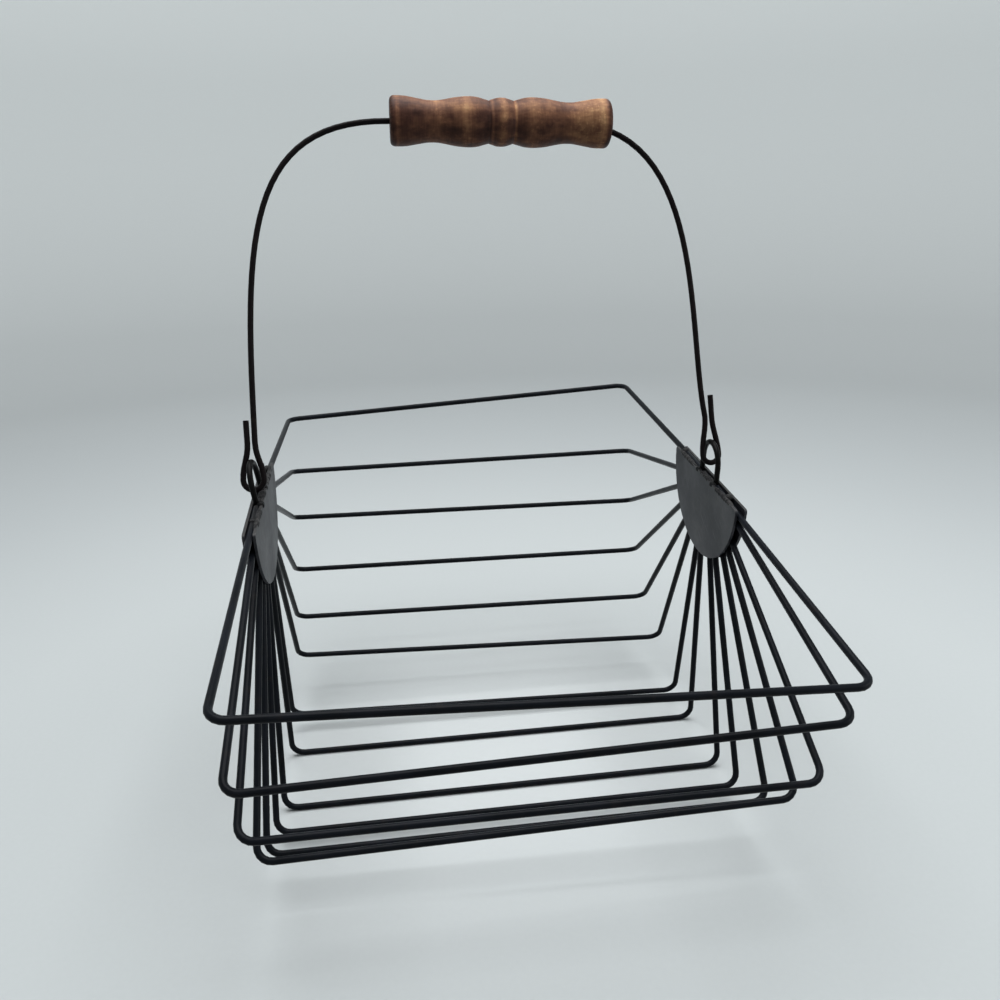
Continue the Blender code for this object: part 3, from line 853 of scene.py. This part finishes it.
# %% [markdown]
# ## Paper that is paler to look at than to light with
#
# Pale paper all round would throw much light up at the wires' undersides, but on the real basket
# they are dark. The Light Path node tells a ray that sees the paper, straight, in a
# reflection or through glass, from one that gathers light: the paper keeps its full tone for the
# first and 0.3 of it for the others. High on the wall it also glows a little for a ray that sees
# it, as a lit backdrop does. The floor's tones change outwards from the middle, by how far along
# the paper a point is. These tones are painted light and shade: brightest under the basket, darker
# in a ring round it out to about 0.6 m, and brighter again up the bend and the wall.

# %% Tones of the paper
# Each row is a place along the paper, in metres from its middle, and its tone with painted light
# and shade in it
PAPER_TONES_WITH_PAINTED_LIGHT = (
    (0.0, "dbe0e0"), (0.14, "c8cece"), (0.25, "c7cdcd"), (0.34, "cdd3d3"), (0.62, "bfc5c6"),
    (1.0, "c2c8c9"), (1.6, "d5dbdb"), (2.3, "eaf1f1"),
)
PAPER_LENGTH = 2.5

paper, tree, shader, place = new_material("pale_matt_paper")
flat = add(tree, "VectorMath", TIMES, in0=place, in1=(1.0, 1.0, 0.0)).outputs["Vector"]
far = add(tree, "VectorMath", LENGTH, in0=flat).outputs["Value"]
rise = add(tree, "SeparateXYZ", Vector=place).outputs["Z"]
run = add(tree, "Math", PLUS, in0=far, in1=rise).outputs[0]
share = add(tree, "MapRange", in0=run, in1=0.0, in2=PAPER_LENGTH).outputs["Result"]
stops = tuple((metres / PAPER_LENGTH, linear(code)) for metres, code in PAPER_TONES_WITH_PAINTED_LIGHT)
# Painted light and shade: the paper's tone by how far along it a point is
tones = add(tree, "ValToRGB", stops=stops, Fac=share)
tones.color_ramp.interpolation = "B_SPLINE"
fibre = add(tree, "TexNoise", Vector=place, Scale=per_mm(2.5), Detail=3.0,
            Roughness=0.5).outputs["Fac"]
mottled = add(tree, "ValToRGB", stops=((0.3, grey(0.985)), (0.7, grey(1.0))),
              Fac=fibre).outputs["Color"]
paper_tone_and_painted_light = add(tree, "Mix", DARKEN, in0=1.0, in6=tones.outputs["Color"], in7=mottled).outputs[2]
print("the paper has", len(stops), "tones over", PAPER_LENGTH, "m")

# %% Pale matt paper
BOUNCE = 0.3
GLOW_FROM, GLOW_FULL = 1.5, 2.4
GLOW_LOW, GLOW_HIGH = 0.015, 0.18

ray = add(tree, "LightPath").outputs
direct = add(tree, "Math", PLUS, in0=ray["Is Camera Ray"], in1=ray["Is Glossy Ray"]).outputs[0]
seen = add(tree, "Math", {"operation": "ADD", "use_clamp": True}, in0=direct,
           in1=ray["Is Transmission Ray"]).outputs[0]
lit = add(tree, "MapRange", Value=seen, To_Min=BOUNCE, To_Max=1.0).outputs["Result"]
dimmed = add(tree, "VectorMath", {"operation": "SCALE"}, Vector=paper_tone_and_painted_light, Scale=lit).outputs["Vector"]
high = add(tree, "MapRange", in0=run, in1=GLOW_FROM, in2=GLOW_FULL, in3=GLOW_LOW,
           in4=GLOW_HIGH).outputs["Result"]
glow = add(tree, "Math", TIMES, in0=high, in1=seen).outputs[0]
tree.links.new(dimmed, shader.inputs["Base Color"])
tree.links.new(glow, shader.inputs["Emission Strength"])
shader.inputs["Emission Color"].default_value = linear("f4fbfb")
shader.inputs["Roughness"].default_value = 0.8
shader.inputs["Specular IOR Level"].default_value = 0.2
paint(sweep, paper)
print("the sweep is", paper.name)

# %% [markdown]
# ## Lamps and sky
#
# One large soft lamp hangs above and slightly behind the basket and lights the wires' upper sides.
# A small one low on the right, a little in front, lifts the left plate. Both are hidden from the
# camera, so that no view shows their squares. A plain pale sky fills in the rest, so a colour
# renders about as it is written.

# %% Lamps and sky
LAMP_TINT = "fcfdff"


def soft_lamp(name, place, aim, size, watts):
    data = bpy.data.lights.new(name, "AREA")
    data.shape = "SQUARE"
    data.size = size
    data.energy = watts
    data.color = linear(LAMP_TINT)[:3]
    made = bpy.data.objects.new(name, data)
    bpy.context.scene.collection.objects.link(made)
    made.location = place
    made.rotation_euler = (Vector(aim) - Vector(place)).to_track_quat("-Z", "Y").to_euler()
    made.visible_camera = False
    print(name, "gives", watts, "W over", size, "m")


soft_lamp("soft_lamp_above", place=(0.0, 0.12, 1.5), aim=(0, 0, 0.1), size=1.4, watts=26.2)
soft_lamp("soft_lamp_right", place=(1.0, -0.36, 0.5), aim=(0, 0, 0.12), size=0.6, watts=2.1)

world = bpy.data.worlds.new("pale_sky")
world.use_nodes = True
sky = world.node_tree.nodes["Background"]
sky.inputs["Color"].default_value = linear("eceeef")
sky.inputs["Strength"].default_value = 0.27
bpy.context.scene.world = world
